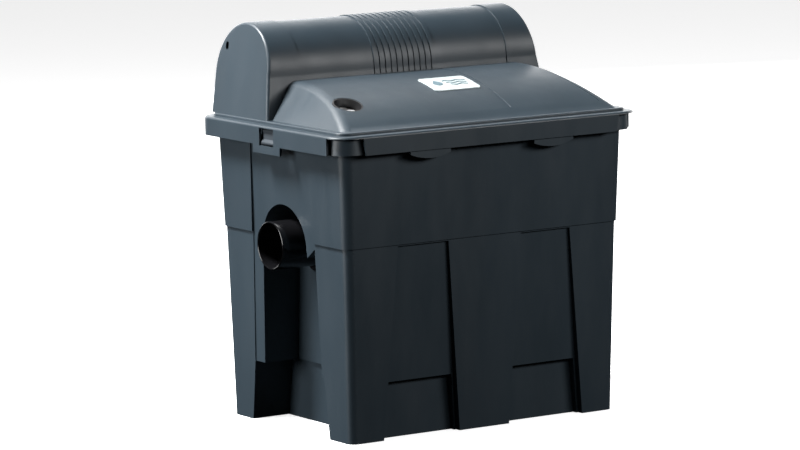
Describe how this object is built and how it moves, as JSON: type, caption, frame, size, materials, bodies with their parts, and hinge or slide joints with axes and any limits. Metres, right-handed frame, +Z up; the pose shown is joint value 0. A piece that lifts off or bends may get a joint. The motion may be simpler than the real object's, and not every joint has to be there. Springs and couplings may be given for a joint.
{
  "type": "pond filter",
  "caption": "Rectangular moulded pond filter with a domed lift-off lid, rear clarifier hump, foam cartridges, side pipe outlet and side hose inlet.",
  "frame": {"origin": "on the floor, under the centre of the lid's rim", "axes": "+Z up, -Y the front with the finger grips, -X the side with the pipe outlet"},
  "size_m": [0.56, 0.41, 0.62],
  "materials": {
    "tub_plastic": "satin",
    "lid_plastic": "satin",
    "black_plastic": "satin",
    "grey_plastic": "satin",
    "pipe_plastic": "gloss",
    "seal_rubber": "matte",
    "stainless": "satin",
    "white_plastic": "gloss",
    "badge": "gloss",
    "quartz": "clear",
    "lamp_glass": "clear",
    "ceramic": "gloss",
    "board": "satin",
    "foam_coarse": "open cell foam",
    "foam_fine": "open cell foam"
  },
  "bodies": {
    "tub": {"container": "tub_plastic", "partition": "grey_plastic", "base_grid": "grey_plastic", "distributor_tray": "grey_plastic", "foam_1": "foam_coarse", "foam_2": "foam_fine", "foam_3": "foam_coarse", "foam_4": "foam_fine", "foam_5": "foam_coarse", "foam_holder_1": "grey_plastic", "foam_holder_2": "grey_plastic", "foam_holder_3": "grey_plastic", "foam_holder_4": "grey_plastic", "foam_holder_5": "grey_plastic", "outlet_pipe": "pipe_plastic", "outlet_gasket": "seal_rubber", "outlet_locknut": "black_plastic", "inlet_bulkhead": "black_plastic", "inlet_gasket": "seal_rubber", "inlet_locknut": "black_plastic", "hose_tail": "black_plastic", "inlet_washer": "seal_rubber", "union_nut": "black_plastic", "inlet_riser": "black_plastic", "drain_spout": "black_plastic", "drain_gasket": "seal_rubber", "drain_locknut": "black_plastic", "uvc_carrier": "grey_plastic", "uvc_housing": "black_plastic", "uvc_clamps": "grey_plastic", "sleeve_holder": "black_plastic", "sleeve_seal": "seal_rubber", "quartz_sleeve": "quartz", "uvc_lamp": "lamp_glass", "lamp_socket": "ceramic", "lock_ring": "black_plastic", "ballast_head": "black_plastic", "ballast_board": "board", "cable_gland": "black_plastic", "downpipe": "black_plastic"},
    "lid_body": {"lid": "lid_plastic", "hump_cover": "lid_plastic", "cover_screws": "stainless", "lid_seal": "seal_rubber", "latch_pins": "stainless", "sight_tube": "black_plastic", "badge_plate": "badge"},
    "latch_left_body": {"latch_left": "lid_plastic"},
    "latch_right_body": {"latch_right": "lid_plastic"},
    "indicator": {"indicator_float": "white_plastic"},
    "drain_cap_body": {"drain_cap": "black_plastic", "drain_cap_seal": "seal_rubber"}
  },
  "joints": [
    {"name": "lid_lift", "type": "slide", "parent": "tub", "child": "lid_body", "axis": [0, 0, 1], "range_m": [0, 0.18]},
    {"name": "latch_left_swing", "type": "hinge", "parent": "lid_body", "child": "latch_left_body", "pos_m": [-0.272, 0, 0.463], "axis": [0, 1, 0], "range_deg": [0, 18], "stiffness_Nm_per_rad": 0.02},
    {"name": "latch_right_swing", "type": "hinge", "parent": "lid_body", "child": "latch_right_body", "pos_m": [0.272, 0, 0.463], "axis": [0, -1, 0], "range_deg": [0, 18], "stiffness_Nm_per_rad": 0.02},
    {"name": "indicator_rise", "type": "slide", "parent": "lid_body", "child": "indicator", "axis": [0, -0.3425, 0.9395], "range_m": [0, 0.012]},
    {"name": "drain_cap_turn", "type": "hinge", "parent": "tub", "child": "drain_cap_body", "pos_m": [0.22, 0, 0.04], "axis": [1, 0, 0], "range_deg": [0, 60]}
  ]
}
